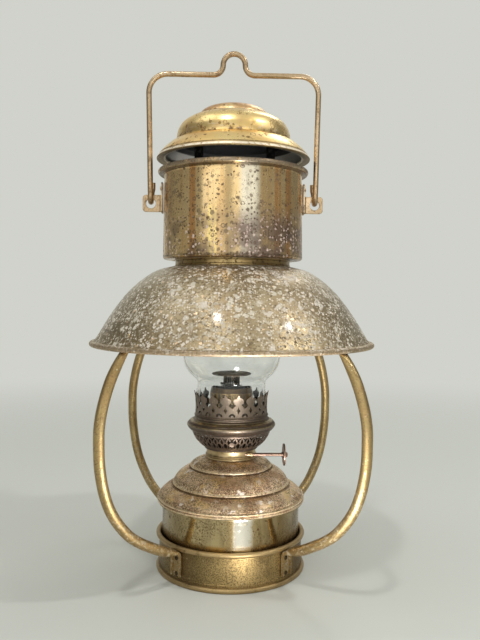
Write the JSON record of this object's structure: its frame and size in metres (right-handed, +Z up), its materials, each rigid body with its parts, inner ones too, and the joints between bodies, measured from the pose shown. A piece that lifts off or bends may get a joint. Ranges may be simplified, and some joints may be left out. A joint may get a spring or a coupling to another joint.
{
  "type": "ship lantern",
  "caption": "Brass ship's oil lantern with vented cap, hood, wide shade, bowed guard tubes, bail handle, glass chimney and a lift-out oil font with a wick burner.",
  "frame": {"origin": "centre of the base ring, on the surface that the lantern stands on", "axes": "+Z up along the lantern's axis, -Y to the front, +X towards the wick winder's wheel"},
  "size_m": [0.262, 0.262, 0.4777],
  "materials": {
    "polished_brass": "old polished brass with brown spots",
    "aged_brass": "satin brass gone olive and brown",
    "spotted_brass": "dull olive brass covered in pale grey specks",
    "bronze_rod": "brown satin rod",
    "mottled_brass": "rough brown mottled brass",
    "burner_bronze": "dark bronze brown",
    "collar_brass": "bright brass",
    "sooty_metal": "black with soot",
    "copper_brown": "dark copper brown",
    "wick_cotton": "woven cotton, charred at the top",
    "clear_glass": "clear blown glass"
  },
  "bodies": {
    "frame": {"base_ring": "aged_brass", "base_floor": "aged_brass", "guard_tube_front_left": "aged_brass", "guard_tube_front_right": "aged_brass", "guard_tube_rear_right": "aged_brass", "guard_tube_rear_left": "aged_brass", "base_rivet_front_left_upper": "mottled_brass", "base_rivet_front_left_lower": "mottled_brass", "base_rivet_front_right_upper": "mottled_brass", "base_rivet_front_right_lower": "mottled_brass", "base_rivet_rear_right_upper": "mottled_brass", "base_rivet_rear_right_lower": "mottled_brass", "base_rivet_rear_left_upper": "mottled_brass", "base_rivet_rear_left_lower": "mottled_brass", "shade_rivet_front_left": "spotted_brass", "shade_rivet_front_right": "spotted_brass", "shade_rivet_rear_right": "spotted_brass", "shade_rivet_rear_left": "spotted_brass", "shade": "spotted_brass", "shade_neck": "aged_brass", "hood": "polished_brass", "cap": "polished_brass", "cap_strap_1": "sooty_metal", "cap_strap_2": "sooty_metal", "cap_strap_3": "sooty_metal", "bail_ear_left": "aged_brass", "bail_ear_right": "aged_brass", "ear_rivet_left_front": "mottled_brass", "ear_rivet_left_rear": "mottled_brass", "ear_rivet_right_front": "mottled_brass", "ear_rivet_right_rear": "mottled_brass"},
    "bail": {"bail": "bronze_rod"},
    "font": {"font_drum": "polished_brass", "font_dome": "mottled_brass", "font_collar": "aged_brass", "burner_collar": "collar_brass", "spindle_bush": "collar_brass", "burner_basket": "burner_bronze", "gallery_ring": "burner_bronze", "chimney_crown": "burner_bronze", "wick_tube": "burner_bronze", "draft_tube": "sooty_metal", "air_deflector": "polished_brass"},
    "winder": {"winder_spindle": "copper_brown", "wick_cog_left": "aged_brass", "wick_cog_right": "aged_brass", "winder_wheel": "copper_brown", "winder_nut": "copper_brown", "winder_shoulder": "copper_brown"},
    "wick": {"wick": "wick_cotton"},
    "spreader": {"flame_disc": "sooty_metal", "spreader_stem": "sooty_metal"},
    "chimney": {"glass_chimney": "clear_glass"}
  },
  "joints": [
    {"name": "bail_swing", "type": "hinge", "parent": "frame", "child": "bail", "pos_m": [0, 0, 0.34455], "axis": [1, 0, 0], "range_deg": [-125, 125]},
    {"name": "font_lift", "type": "slide", "parent": "frame", "child": "font", "axis": [0, 0, 1], "range_m": [0, 0.031]},
    {"name": "winder_turn", "type": "hinge", "parent": "font", "child": "winder", "pos_m": [0, -0.0177, 0.1079], "axis": [1, 0, 0], "range_deg": [-220, 140]},
    {"name": "wick_raise", "type": "slide", "parent": "font", "child": "wick", "axis": [0, 0, 1], "range_m": [-0.0101, 0.0065]},
    {"name": "spreader_lift", "type": "slide", "parent": "font", "child": "spreader", "axis": [0, 0, 1], "range_m": [0, 0.014]},
    {"name": "chimney_lift", "type": "slide", "parent": "font", "child": "chimney", "axis": [0, 0, 1], "range_m": [0, 0.02]}
  ],
  "couplings": [
    {"joint": "wick_raise", "follows": "winder_turn", "m_per_rad": 0.0026}
  ]
}
